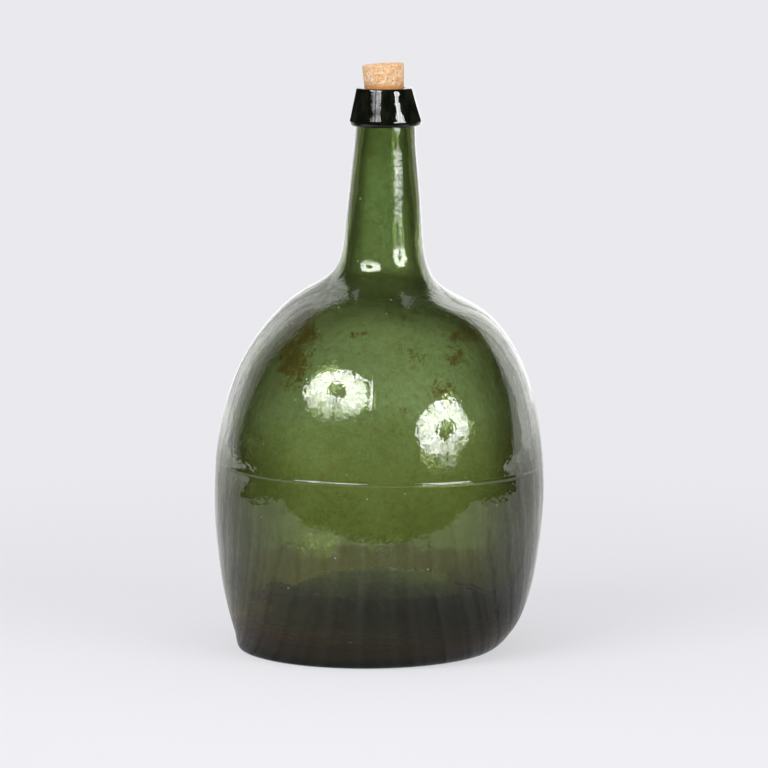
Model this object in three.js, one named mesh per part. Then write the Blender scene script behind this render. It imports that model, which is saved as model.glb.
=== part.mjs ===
// Demijohn of about 10 litres: a green glass body blown in a three-piece mould, the collar
// laid round the end of its neck, and a tapered cork that leans a little in the mouth.
// Millimetres, +Z up, z = 0 on the bearing ring, the front towards -Y, +X to the right.
import * as THREE from "three";

// Outside of the blown body, from the bearing ring up to the neck's end. Each station gives
// its radius and height, the way the outline runs there (degrees, 0 outwards, 90 straight
// up), and how far it holds that way before and after the station.
const OUTSIDE = [
  { radius: 98, height: 0, heading: 0, before: 0, after: 5.6, steps: 0 },
  { radius: 109, height: 13.3, heading: 59, before: 2.5, after: 29.5, steps: 4 },
  { radius: 129.5, height: 124.5, heading: 90, before: 30, after: 66.3, steps: 8 },
  { radius: 68.1, height: 275.3, heading: 148, before: 51, after: 26.5, steps: 12 },
  { radius: 31.1, height: 322, heading: 95.2, before: 33.6, after: 20, steps: 8 },
  { radius: 22.9, height: 413, heading: 95.2, before: 20, after: 5, steps: 2 },
  { radius: 21, height: 428, heading: 97, before: 5, after: 2, steps: 2 },
  { radius: 18.7, height: 432, heading: 180, before: 1.2, after: 1.2, steps: 2 },
];

// Underside: the bearing ring's inner edge and the dome pushed up inside it.
const BEARING_INNER_RADIUS = 87.5;
const PUSH_UP = { height: 46, side: 30, sideInset: 3, crown: 57, steps: 8 };

// Inside of the body: thickness of the wall at a few heights, and the floor over the dome.
const WALL = [
  { height: 47, thickness: 6.2 },
  { height: 112, thickness: 4.2 },
  { height: 255, thickness: 4 },
  { height: 336, thickness: 5.6 },
  { height: 408, thickness: 6.5 },
];
const BORE = { radius: 16.2, from: 420, to: 429, blend: 4 }; // the inside blends into it over this
const FLOOR = { crown: 58, crownPull: 73, trough: 18.5, troughRadius: 100, troughPull: 8, steps: 8 };
const FLOOR_CORNER = { pull: 5, wallInset: 3.5, wallPull: 22, steps: 4 }; // from trough to wall
const INSIDE_STEPS_KEPT = 2; // the inside keeps every second ring of the outside

// What the hand and the mould left in the glass.
const LEAN = { perMillimetre: 0.0175, uprightAt: 137, collarBack: 0.035 }; // towards +X going up
const FOOT_SHIFT = { amount: -8.4, heelFade: 12.6, floorFrom: 10, floorTo: 60 }; // towards -X
const SHOULDER_TILT = { slope: 0.07, height: 288.5, spread: 18 }; // left side stands higher
const RING_SEAM = { height: 147.3, slope: 0.0162, spread: 40, ridge: 0.8, halfWidth: 1.6 };
const UPRIGHT_SEAM = { angle: -93.3, top: 298, fade: 14, start: 8, ridge: 0.6, halfAngle: 0.75 };
const COLUMNS = 56; // upright edges of the body, three of them close together at each seam

// Collar laid round the neck's end: it tapers up to the mouth and laps over the end.
const COLLAR = { bottom: 412, top: 440.5, widest: 28, widestAt: 416, topRadius: 22 };
const COLLAR_LOWER = { round: 2, land: 1.2, chamfer: 1, steps: 4 };
const COLLAR_UPPER = { round: 1.6, draft: 0.4, steps: 3 };
const MOUTH = { radius: 15.8, flare: 17.3, flareDepth: 3.2, softness: 0.2, steps: 3 };
const COLLAR_COLUMNS = 44;
const SEATING_GAP = 0.3; // between the collar and the neck inside it

// Cork: pushed about half its length into the mouth, leaning towards -X.
const CORK = { bottomRadius: 14.2, topRadius: 16.3, length: 39, seated: 20.8, lean: 3.4 };
const CORK_BEVEL = 1;
const CORK_COLUMNS = 36;

const HALVINGS = 30; // when a height is looked up on a curve

const GLASS_GREEN = 0x57793f;
const GLASS_DARK = 0x14180f;
const CORK_TAN = 0xdba66c;

const point = (radius, height) => new THREE.Vector2(radius, height);
const bell = (height, centre, spread) => Math.exp(-(((height - centre) / spread) ** 2));

// The cubic curve between two stations, held to each one's heading.
function curveBetween(from, to) {
  const held = (station, reach) => {
    const heading = THREE.MathUtils.degToRad(station.heading);
    return point(
      station.radius + reach * Math.cos(heading),
      station.height + reach * Math.sin(heading),
    );
  };
  return new THREE.CubicBezierCurve(
    held(from, 0),
    held(from, from.after),
    held(to, -to.before),
    held(to, 0),
  );
}

// The point where a rising curve passes a height, found by halving.
function pointAtHeight(curve, height) {
  let low = 0;
  let high = 1;
  for (let round = 0; round < HALVINGS; round += 1) {
    const middle = (low + high) / 2;
    if (curve.getPoint(middle).y < height) low = middle;
    else high = middle;
  }
  return curve.getPoint(low);
}

// Ring points of one run, with three of them at the ring seam where the run passes it.
function sampleRun(curve, steps) {
  const points = curve.getPoints(steps).slice(1);
  const start = curve.getPoint(0).y;
  const end = curve.getPoint(1).y;
  const { height, ridge, halfWidth } = RING_SEAM;
  if (height < start || height > end) return points;
  const clear = points.filter((p) => Math.abs(p.y - height) > 2 * halfWidth);
  const seam = [-halfWidth, 0, halfWidth].map((offset) => pointAtHeight(curve, height + offset));
  seam[1].x += ridge;
  return [...clear, ...seam].sort((a, b) => a.y - b.y);
}

function outsideRuns() {
  return OUTSIDE.slice(1).map((station, index) => ({
    curve: curveBetween(OUTSIDE[index], station),
    steps: station.steps,
  }));
}

function outsidePoints() {
  const start = point(OUTSIDE[0].radius, OUTSIDE[0].height);
  return [start, ...outsideRuns().flatMap(({ curve, steps }) => sampleRun(curve, steps))];
}

// Wall thickness at a height, even from one named height to the next.
function wallAt(height) {
  const above = WALL.findIndex((row) => row.height >= height);
  if (above === 0) return WALL[0].thickness;
  if (above < 0) return WALL[WALL.length - 1].thickness;
  const low = WALL[above - 1];
  const high = WALL[above];
  const share = (height - low.height) / (high.height - low.height);
  return THREE.MathUtils.lerp(low.thickness, high.thickness, share);
}

// Points of a curve moved square to it: to its left where the distance is positive.
function offsetCurve(curve, steps, distanceAt) {
  return Array.from({ length: steps + 1 }, (_, step) => {
    const at = curve.getPoint(step / steps);
    const way = curve.getTangent(step / steps);
    const distance = distanceAt(at.y);
    return point(at.x - way.y * distance, at.y + way.x * distance);
  });
}

// Inside of the wall, from the neck's end down to where the floor's trough begins.
function insideWall() {
  const lowest = WALL[0].height;
  const wall = outsideRuns()
    .slice(1, 5)
    .flatMap(({ curve, steps }) => offsetCurve(curve, steps / INSIDE_STEPS_KEPT, wallAt).slice(1))
    .filter((p) => p.y > lowest && p.y < BORE.from - BORE.blend);
  const mouth = [point(BORE.radius, BORE.from), point(BORE.radius, BORE.to)];
  const start = wall[0];
  const trough = point(FLOOR.troughRadius, FLOOR.trough);
  const corner = new THREE.CubicBezierCurve(
    trough,
    point(trough.x + FLOOR_CORNER.pull, trough.y),
    point(start.x - FLOOR_CORNER.wallInset, start.y - FLOOR_CORNER.wallPull),
    start,
  );
  return [...corner.getPoints(FLOOR_CORNER.steps).slice(1, -1), ...wall, ...mouth];
}

// Underside from its middle to the bearing ring, and the floor from the trough to its middle.
function undersidePoints() {
  const dome = new THREE.CubicBezierCurve(
    point(0, PUSH_UP.height),
    point(PUSH_UP.crown, PUSH_UP.height),
    point(BEARING_INNER_RADIUS - PUSH_UP.sideInset, PUSH_UP.side),
    point(BEARING_INNER_RADIUS, 0),
  );
  return dome.getPoints(PUSH_UP.steps);
}

function floorPoints() {
  const floor = new THREE.CubicBezierCurve(
    point(FLOOR.troughRadius, FLOOR.trough),
    point(FLOOR.troughRadius - FLOOR.troughPull, FLOOR.trough),
    point(FLOOR.crownPull, FLOOR.crown),
    point(0, FLOOR.crown),
  );
  return floor.getPoints(FLOOR.steps);
}

// A revolved profile stood upright along +Z.
function revolve(profile, columns) {
  return new THREE.LatheGeometry(profile, columns).rotateX(Math.PI / 2);
}

// How far the axis has wandered along X at a height: a lean, turned back at the collar.
function axisShift(height) {
  const below = Math.min(height, COLLAR.bottom) - LEAN.uprightAt;
  return below * LEAN.perMillimetre - Math.max(0, height - COLLAR.bottom) * LEAN.collarBack;
}

// The foot sits to one side: the heel draws in again quickly, the floor over its height.
function footShift(height, outerWall) {
  const { amount, heelFade, floorFrom, floorTo } = FOOT_SHIFT;
  const floor = 1 - THREE.MathUtils.smoothstep(height, floorFrom, floorTo);
  return amount * (outerWall ? Math.exp(-height / heelFade) : floor);
}

function drop(height) {
  const shoulder = SHOULDER_TILT.slope * bell(height, SHOULDER_TILT.height, SHOULDER_TILT.spread);
  return shoulder + RING_SEAM.slope * bell(height, RING_SEAM.height, RING_SEAM.spread);
}

// Angle of a column, so that three columns stand close together at the two upright seams.
function columnAngle(column) {
  const half = COLUMNS / 2;
  const place = column % half;
  const side = Math.floor(column / half) * 180;
  const share = (place - 1) / (half - 2);
  const plain = UPRIGHT_SEAM.halfAngle + share * (180 - 2 * UPRIGHT_SEAM.halfAngle);
  return THREE.MathUtils.degToRad(UPRIGHT_SEAM.angle + side + (place === 0 ? 0 : plain));
}

// Height of the upright ridge: from the ring seam to the root of the neck, fading at both.
function uprightRidge(height) {
  const foot = RING_SEAM.height - RING_SEAM.ridge;
  const rise = THREE.MathUtils.smoothstep(height, foot, RING_SEAM.height + UPRIGHT_SEAM.start);
  const fall = THREE.MathUtils.smoothstep(
    height,
    UPRIGHT_SEAM.top - UPRIGHT_SEAM.fade,
    UPRIGHT_SEAM.top,
  );
  return UPRIGHT_SEAM.ridge * rise * (1 - fall);
}

function bodyGeometry() {
  const outside = outsidePoints();
  const underside = undersidePoints();
  const profile = [...underside, ...outside, ...insideWall().reverse(), ...floorPoints()];
  const geometry = revolve(profile, COLUMNS);
  const places = geometry.getAttribute("position");
  for (let index = 0; index < places.count; index += 1) {
    const column = Math.floor(index / profile.length);
    const row = index % profile.length;
    const { x: radius, y: height } = profile[row];
    const outerWall = row >= underside.length && row < underside.length + outside.length;
    const onSeam = outerWall && column % (COLUMNS / 2) === 0;
    const reach = radius + (onSeam ? uprightRidge(height) : 0);
    const x = reach * Math.cos(columnAngle(column));
    const y = reach * Math.sin(columnAngle(column));
    const shift = axisShift(height) + footShift(height, outerWall);
    places.setXYZ(index, x + shift, y, height - drop(height) * x);
  }
  geometry.computeVertexNormals();
  return geometry;
}

// The neck's end as the collar feels it: the same outline, one seating gap further out.
function collarSocket() {
  return outsideRuns()
    .slice(-3)
    .flatMap(({ curve, steps }) => offsetCurve(curve, steps, () => -SEATING_GAP))
    .filter((p) => p.y > COLLAR.bottom + COLLAR_LOWER.chamfer);
}

function collarProfile() {
  const { bottom, top, widest, widestAt, topRadius } = COLLAR;
  const socket = collarSocket();
  const inner = socket[0].x;
  const lowerRound = new THREE.CubicBezierCurve(
    point(inner + COLLAR_LOWER.land, bottom),
    point(widest - COLLAR_LOWER.round, bottom),
    point(widest, bottom),
    point(widest, widestAt),
  );
  const topRound = new THREE.QuadraticBezierCurve(
    point(topRadius + COLLAR_UPPER.draft, top - COLLAR_UPPER.round),
    point(topRadius, top),
    point(topRadius - COLLAR_UPPER.round, top),
  );
  const mouth = new THREE.QuadraticBezierCurve(
    point(MOUTH.flare, top),
    point(MOUTH.radius + MOUTH.softness, top - MOUTH.softness),
    point(MOUTH.radius, top - MOUTH.flareDepth),
  );
  const lap = socket[socket.length - 1];
  return [
    ...lowerRound.getPoints(COLLAR_LOWER.steps),
    ...topRound.getPoints(COLLAR_UPPER.steps),
    ...mouth.getPoints(MOUTH.steps),
    point(MOUTH.radius, lap.y),
    ...[...socket].reverse(),
    point(inner, bottom + COLLAR_LOWER.chamfer),
    point(inner + COLLAR_LOWER.land, bottom),
  ];
}

function collarGeometry() {
  const geometry = revolve(collarProfile(), COLLAR_COLUMNS);
  const places = geometry.getAttribute("position");
  for (let index = 0; index < places.count; index += 1) {
    places.setX(index, places.getX(index) + axisShift(places.getZ(index)));
  }
  geometry.computeVertexNormals();
  return geometry;
}

function corkGeometry() {
  const { bottomRadius, topRadius, length, seated } = CORK;
  const profile = [
    point(0, -seated),
    point(bottomRadius - CORK_BEVEL, -seated),
    point(bottomRadius, CORK_BEVEL - seated),
    point(THREE.MathUtils.lerp(bottomRadius, topRadius, seated / length), 0),
    point(topRadius, length - seated - CORK_BEVEL),
    point(topRadius - CORK_BEVEL, length - seated),
    point(0, length - seated),
  ];
  return revolve(profile, CORK_COLUMNS);
}

function glass(color, opacity) {
  return new THREE.MeshStandardMaterial({
    color,
    roughness: 0.08,
    metalness: 0,
    transparent: opacity < 1,
    opacity,
  });
}

function named(name, geometry, material) {
  const mesh = new THREE.Mesh(geometry, material);
  mesh.name = name;
  return mesh;
}

function makeDemijohn() {
  const demijohn = new THREE.Group();
  const body = named("glass_body", bodyGeometry(), glass(GLASS_GREEN, 0.7));
  const collar = named("applied_lip", collarGeometry(), glass(GLASS_DARK, 1));
  const corkSkin = new THREE.MeshStandardMaterial({ color: CORK_TAN, roughness: 0.85, metalness: 0 });
  const cork = named("cork_stopper", corkGeometry(), corkSkin);
  cork.position.set(axisShift(COLLAR.top), 0, COLLAR.top);
  cork.rotation.y = -THREE.MathUtils.degToRad(CORK.lean);
  demijohn.add(body, collar, cork);
  return demijohn;
}

export default makeDemijohn();
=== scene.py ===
# Green glass demijohn with its dark collar and leaning cork, on a pale studio floor.
# Shapes are given in millimetres and turned into the frame's metres as each mesh is made.
import math

import bpy
import numpy as np
from mathutils.kdtree import KDTree
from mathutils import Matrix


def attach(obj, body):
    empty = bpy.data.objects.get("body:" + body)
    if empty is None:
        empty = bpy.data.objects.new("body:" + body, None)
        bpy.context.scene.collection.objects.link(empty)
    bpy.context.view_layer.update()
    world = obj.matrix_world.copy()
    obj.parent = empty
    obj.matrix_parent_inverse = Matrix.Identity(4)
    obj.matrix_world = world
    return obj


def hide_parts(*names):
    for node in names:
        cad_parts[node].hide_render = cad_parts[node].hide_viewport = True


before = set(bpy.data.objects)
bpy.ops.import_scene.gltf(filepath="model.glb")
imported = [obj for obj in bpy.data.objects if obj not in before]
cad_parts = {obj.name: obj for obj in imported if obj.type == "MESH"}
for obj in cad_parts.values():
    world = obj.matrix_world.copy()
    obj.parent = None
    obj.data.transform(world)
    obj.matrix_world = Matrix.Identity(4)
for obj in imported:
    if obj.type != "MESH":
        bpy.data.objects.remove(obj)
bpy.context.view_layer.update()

MM = 0.001

# Camera in metres, at the photograph's viewpoint.
CAMERA_PLACE, CAMERA_DOWN = (0.003586, -3.88395, 0.72965), 7.649
CAMERA_LENS, CAMERA_SENSOR = 234.5, 36

# Outside of the blown body: radius, height, heading in degrees, and how far the outline
# holds its heading before and after each station. The inside follows the shell's runs.
OUTSIDE = (
    (98, 0, 0, 0, 5.6),
    (109, 13.3, 59, 2.5, 29.5),
    (129.5, 124.5, 90, 30, 66.3),
    (68.1, 275.3, 148, 51, 26.5),
    (31.1, 322, 95.2, 33.6, 20),
    (22.9, 413, 95.2, 20, 5),
    (21, 428, 97, 5, 2),
    (18.7, 432, 180, 1.2, 1.2),
)
SHELL_RUNS = slice(1, 6)
NECK_STATION, COLLAR_STATION = 4, 5
UNDERSIDE = ((0, 46), (57, 46), (84.5, 30), (87.5, 0))
WALL_HEIGHTS = (47, 112, 255, 336, 408)
WALL_THICKNESSES = (6.2, 4.2, 4, 5.6, 6.5)
BORE_RADIUS, BORE_FROM, BORE_TO, BORE_BLEND = 16.2, 420, 429, 4
TROUGH, FLOOR_TOP = (100, 18.5), (0, 58)
FLOOR_CURVE = (TROUGH, (92, 18.5), (73, 58), FLOOR_TOP)
CORNER_PULL, WALL_FOOT_PULL = (5, 0), (-3.5, -22)

# Hand work: the lean, the foot that sits to one side, the lopsided shoulder and the seams.
LEAN, UPRIGHT_AT, COLLAR_FOOT, COLLAR_BACK = 0.0175, 137, 412, 0.035
FOOT_SHIFT, HEEL_FADE, FLOOR_FADE = -8.4, 12.6, (10, 60)
SHOULDER_TILT = (0.07, 288.5, 18)
RING_TILT = (0.0162, 147.3, 40)
RING_SEAM, RING_RIDGE, RING_WIDTH = 147.3, 0.4, 1.0
RING_FADE, RING_SIDE_SHARE = (0.78, 0.93), 0.2
UPRIGHT_SEAM, UPRIGHT_RIDGE, UPRIGHT_WIDTH = math.radians(-93), 0.16, 1.1
UPRIGHT_FROM, UPRIGHT_TO = (147, 155), (296, 308)

# Slow unevenness of the glass: size, and the shortest and longest wave. It dies out at the
# foot and under the collar, and the outside only ever lies within its plain outline.
OUTER_SEED, OUTER_WAVE, OUTER_LENGTHS, OUTER_CAP = 11, 0.22, (26, 90), 1.5
INNER_SEED, INNER_WAVE, INNER_LENGTHS = 12, 0.4, (18, 80)
WAVE_FOOT, WAVE_TOP, WAVE_CORE = (8, 40), (395, 410), 20

COLUMNS, SEAM_COLUMNS, SEAM_SPREAD, SEAM_SAMPLES = 208, 9, 0.03, 4001
ROW_STEP = {"underside": 5, "outside": 2.7, "inside": 4, "floor": 5}
FINER, FINER_SPREAD = 10, 2

# Collar: its outline, the dents of its tooling, and its uneven lower edge.
COLLAR_BOTTOM, COLLAR_TOP = 410.8, 440.5
COLLAR_WIDEST, COLLAR_WIDEST_AT, COLLAR_TOP_RADIUS = 28, 415, 22
COLLAR_LAND, COLLAR_CHAMFER, COLLAR_LOWER_ROUND = 1.2, 1, 2
COLLAR_UPPER_ROUND, COLLAR_DRAFT = 1.6, 0.4
COLLAR_GAP, COLLAR_STEP, COLLAR_COLUMNS = 0.05, 0.7, 160
COLLAR_NECK_CLEARANCE, COLLAR_SKIN = 1, (0.5, 2.5)
DENT_SEED, DENT, DENT_LENGTHS, DENT_CAP = 21, 0.08, (9, 34), 1
EDGE_SEED, EDGE_LIFT, EDGE_LENGTHS, EDGE_FADE = 22, 0.2, (30, 60), 9
MOUTH_RADIUS, MOUTH_FLARE, MOUTH_DEPTH, MOUTH_SOFTNESS = 15.8, 17.3, 3.2, 0.2

# Cork, with its foot below the mouth, and the granules that it is pressed from.
CORK_BOTTOM, CORK_TOP, CORK_LENGTH, CORK_SEATED = 14.2, 16.3, 39, 20.8
CORK_LEAN, CORK_BEVEL = math.radians(3.4), 0.4
CORK_STEP, CORK_COLUMNS = 0.6, 170
GRANULE_SEED, GRANULE, GRANULES = 31, 2.7, 2400
GRANULE_GAP, GAP_WIDTH = 0.24, 0.5
PIT_DEPTH, PITTED, PIT_REACH = 0.7, (0.93, 0.97), (0.5, 1.5)

# Stains on the inside of the front wall: how far right and how high their middles lie,
# how far they reach each way, and how strong they are.
STAINS = (
    (-60, 262, 16, 23, 1.15),
    (-66, 236, 15, 22, 1.1),
    (-45, 276, 10, 7, 0.8),
    (-84, 242, 9, 12, 0.6),
    (-20, 257, 4, 3.5, 0.9),
    (-10, 257, 4, 3, 0.8),
    (22, 268, 18, 8, 0.5),
    (66, 253, 17, 10, 0.9),
    (60, 238, 9, 8, 0.9),
    (48, 216, 13, 10, 0.8),
    (27, 240, 9, 6, 0.6),
    (19, 202, 2.5, 3, 0.9),
)
STAIN_EDGE = (0.2, 1.6)

# A bloom of dust on the same wall: its span to the right, its span upwards, and soft edges.
BLOOM_ACROSS, BLOOM_UP, BLOOM_SOFTNESS = (-76, 0), (192, 250), (14, 5)


def make_camera():
    """The photograph's view."""
    data = bpy.data.cameras.new("camera")
    data.lens = CAMERA_LENS
    data.sensor_width = CAMERA_SENSOR
    camera = bpy.data.objects.new("camera", data)
    camera.location = CAMERA_PLACE
    camera.rotation_euler = (math.radians(90 - CAMERA_DOWN), 0, 0)
    bpy.context.scene.collection.objects.link(camera)
    bpy.context.scene.camera = camera
    bpy.context.scene.view_settings.view_transform = "Standard"


def bezier(points, count=200):
    """Points along the cubic curve with these four control points."""
    a, b, c, d = (np.array(p, float) for p in points)
    t = np.linspace(0, 1, count)[:, None]
    return (1 - t) ** 3 * a + 3 * (1 - t) ** 2 * t * b + 3 * (1 - t) * t**2 * c + t**3 * d


def bell(value, centre, spread):
    """One at the centre, dying out on both sides."""
    return np.exp(-(((value - centre) / spread) ** 2))


def smooth(value, low, high):
    """From nothing at low to one at high, with a soft start and end."""
    share = np.clip((value - low) / (high - low), 0, 1)
    return share * share * (3 - 2 * share)


def station_curve(start, end):
    """The run between two stations of the outside."""
    way_on = np.array([math.cos(math.radians(start[2])), math.sin(math.radians(start[2]))])
    way_in = np.array([math.cos(math.radians(end[2])), math.sin(math.radians(end[2]))])
    first, last = np.array(start[:2], float), np.array(end[:2], float)
    return bezier((first, first + way_on * start[4], last - way_in * end[3], last))


def joined(curves):
    """Curves end to end, with each shared point kept once."""
    return np.vstack([curves[0]] + [curve[1:] for curve in curves[1:]])


def spaced(curve, step, finer_at=None):
    """The curve's points again, a step apart, and closer together near a height."""
    lengths = np.hypot(*np.diff(curve, axis=0).T)
    rate = np.full(len(lengths), 1 / step)
    if finer_at is not None:
        middle = (curve[1:, 1] + curve[:-1, 1]) / 2
        rate *= 1 + FINER * bell(middle, finer_at, FINER_SPREAD)
    travelled = np.concatenate([[0], np.cumsum(lengths * rate)])
    stops = np.linspace(0, travelled[-1], max(2, math.ceil(travelled[-1])) + 1)
    return np.column_stack([np.interp(stops, travelled, curve[:, i]) for i in (0, 1)])


def offset(curve, distance):
    """The curve moved square to itself, to its left where the distance is positive."""
    way = np.gradient(curve, axis=0)
    way /= np.hypot(*way.T)[:, None]
    return curve + np.column_stack([-way[:, 1], way[:, 0]]) * np.reshape(distance, (-1, 1))


class Waves:
    """Smooth unevenness: plane waves of many lengths and ways, the same on every run."""

    def __init__(self, seed, lengths, count=36):
        draw = np.random.default_rng(seed)
        way = draw.normal(size=(count, 3))
        way /= np.linalg.norm(way, axis=1)[:, None]
        length = np.exp(draw.uniform(*np.log(lengths), count))
        self.ways = way * (2 * math.pi / length)[:, None]
        self.phases = draw.uniform(0, 2 * math.pi, count)
        self.sizes = length / length.max() / math.sqrt(count / 2)

    def at(self, places):
        return np.sin(places @ self.ways.T + self.phases) @ self.sizes


def band_faces(rows, columns, closed=False):
    """Quads between rings of vertices, with their outside outwards."""
    bands = rows if closed else rows - 1
    row, column = np.meshgrid(np.arange(bands), np.arange(columns), indexing="ij")
    above, beside = (row + 1) % rows, (column + 1) % columns
    corners = (row * columns + column, row * columns + beside,
               above * columns + beside, above * columns + column)
    return np.stack(corners, axis=-1).reshape(-1, 4).tolist()


def fan_faces(rows, columns):
    """Triangles from the first and the last ring to the two middle points added last."""
    column = np.arange(columns)
    beside = (column + 1) % columns
    start = np.full(columns, rows * columns)
    last = (rows - 1) * columns
    first_fan = np.column_stack([start, beside, column])
    last_fan = np.column_stack([last + column, last + beside, start + 1])
    return np.vstack([first_fan, last_fan]).tolist()


def make_mesh(name, places, faces, attributes=None):
    """A smooth-shaded object from places in millimetres, with named values at its vertices."""
    mesh = bpy.data.meshes.new(name)
    mesh.from_pydata((np.asarray(places, float) * MM).tolist(), [], faces)
    mesh.shade_smooth()
    for label, values in (attributes or {}).items():
        layer = mesh.attributes.new(label, "FLOAT", "POINT")
        layer.data.foreach_set("value", np.asarray(values, np.float32))
    piece = bpy.data.objects.new(name, mesh)
    bpy.context.scene.collection.objects.link(piece)
    return piece


def axis_shift(height):
    """How far the axis has wandered to the right at a height."""
    lean = (np.minimum(height, COLLAR_FOOT) - UPRIGHT_AT) * LEAN
    return lean - np.maximum(0, height - COLLAR_FOOT) * COLLAR_BACK


def foot_shift(height, outer):
    """How far the foot sits to one side, on the outside and on the floor inside."""
    heel = np.exp(-height / HEEL_FADE)
    floor = 1 - smooth(height, *FLOOR_FADE)
    return FOOT_SHIFT * np.where(outer, heel, floor)


def drop(height):
    """How far the surface drops for each millimetre to the right."""
    return sum(slope * bell(height, centre, spread)
               for slope, centre, spread in (SHOULDER_TILT, RING_TILT))


def body_profile():
    """Rows of the body as radius and height, and which surface each row is on."""
    runs = [station_curve(a, b) for a, b in zip(OUTSIDE, OUTSIDE[1:])]
    shell = joined(runs[SHELL_RUNS])
    inside = offset(shell, np.interp(shell[:, 1], WALL_HEIGHTS, WALL_THICKNESSES))
    inside = inside[(inside[:, 1] > WALL_HEIGHTS[0]) & (inside[:, 1] < BORE_FROM - BORE_BLEND)]
    foot = inside[0]
    corner = bezier((TROUGH, np.add(TROUGH, CORNER_PULL), foot + WALL_FOOT_PULL, foot))
    bore = np.array([[BORE_RADIUS, BORE_FROM], [BORE_RADIUS, BORE_TO]], float)
    wall = np.vstack([corner, inside[1:], bore])
    parts = {
        "underside": spaced(bezier(UNDERSIDE), ROW_STEP["underside"])[1:],
        "outside": spaced(joined(runs), ROW_STEP["outside"], RING_SEAM),
        "inside": spaced(wall, ROW_STEP["inside"])[::-1],
        "floor": spaced(bezier(FLOOR_CURVE), ROW_STEP["floor"])[1:-1],
    }
    surface = np.concatenate([[name] * len(rows) for name, rows in parts.items()])
    return np.vstack(list(parts.values())), surface


def seam_columns():
    """Angles of the columns, closer together at the two upright seams."""
    fine = np.linspace(-math.pi, math.pi, SEAM_SAMPLES)
    gap = np.sin(fine - UPRIGHT_SEAM)
    even = COLUMNS / (2 * math.pi)
    extra = SEAM_COLUMNS / (SEAM_SPREAD * math.sqrt(math.pi))
    rate = even + extra * bell(gap, 0, SEAM_SPREAD)
    travelled = np.concatenate([[0], np.cumsum((rate[1:] + rate[:-1]) / 2 * np.diff(fine))])
    count = round(travelled[-1])
    return np.interp(np.arange(count) * travelled[-1] / count, travelled, fine)


def seam_ridges(radius, height, angles):
    """How far the ring seam and the two upright seams stand proud."""
    ring = RING_RIDGE * bell(height, RING_SEAM, RING_WIDTH)
    ring = ring * (1 - (1 - RING_SIDE_SHARE) * smooth(np.abs(np.cos(angles)), *RING_FADE))
    across = np.abs(np.sin(angles - UPRIGHT_SEAM)) * radius
    along = smooth(height, *UPRIGHT_FROM) * (1 - smooth(height, *UPRIGHT_TO))
    return ring + UPRIGHT_RIDGE * bell(across, 0, UPRIGHT_WIDTH) * along


def body_unevenness(radius, height, angles, outer, within):
    """How far the waves in the glass move each place outwards."""
    x, y = radius * np.cos(angles), radius * np.sin(angles)
    places = np.stack([x, y, np.broadcast_to(height, x.shape)], axis=-1)
    outside = Waves(OUTER_SEED, OUTER_LENGTHS).at(places)
    inside = Waves(INNER_SEED, INNER_LENGTHS).at(places)
    inwards = OUTER_WAVE * (np.minimum(outside, OUTER_CAP) - OUTER_CAP)
    body = smooth(height, *WAVE_FOOT) * (1 - smooth(height, *WAVE_TOP))
    return (outer * inwards + within * INNER_WAVE * inside) * body


def stained(places, within):
    """How strongly the wine has stained the inside at each place."""
    x, y, z = np.moveaxis(places, -1, 0)
    total = np.zeros(x.shape)
    for right, up, half_width, half_height, strength in STAINS:
        away = np.hypot((x - right) / half_width, (z - up) / half_height)
        total = np.maximum(total, strength * (1 - smooth(away, *STAIN_EDGE)))
    return total * (y < 0) * within


def between(value, low, high, softness):
    """One between two limits and nothing outside them, with soft edges."""
    return smooth(value, low - softness, low + softness) * (
        1 - smooth(value, high - softness, high + softness))


def bloomed(places, within):
    """How thick the dust lies on the inside at each place."""
    x, y, z = np.moveaxis(places, -1, 0)
    across = between(x, *BLOOM_ACROSS, BLOOM_SOFTNESS[0])
    return across * between(z, *BLOOM_UP, BLOOM_SOFTNESS[1]) * (y < 0) * within


def build_body():
    """The blown vessel: one closed skin over the underside, outside, inside and floor."""
    rows, surface = body_profile()
    angles = seam_columns()
    radius, height = rows[:, :1], rows[:, 1:]
    outer = (surface == "outside")[:, None]
    within = np.isin(surface, ("inside", "floor"))[:, None]
    reach = radius + outer * seam_ridges(radius, height, angles)
    uneven = body_unevenness(radius, height, angles, outer, within)
    reach = reach * (1 + uneven / np.maximum(radius, WAVE_CORE))
    x, y = reach * np.cos(angles), reach * np.sin(angles)
    moved = x + axis_shift(height) + foot_shift(height, outer)
    places = np.stack([moved, y, height - drop(height) * x], axis=-1)
    middles = [(axis_shift(z) + foot_shift(z, False), 0, z)
               for z in (UNDERSIDE[0][1], FLOOR_TOP[1])]
    count = places.shape[:2]
    marks = {
        "inner": np.append(np.broadcast_to(within, count), [0, 1]),
        "stain": np.append(stained(places, within), [0, 0]),
        "bloom": np.append(bloomed(places, within), [0, 0]),
    }
    faces = band_faces(*count) + fan_faces(*count)
    vertices = np.vstack([places.reshape(-1, 3), middles])
    return make_mesh("blown_glass_body", vertices, faces, marks)


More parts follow.
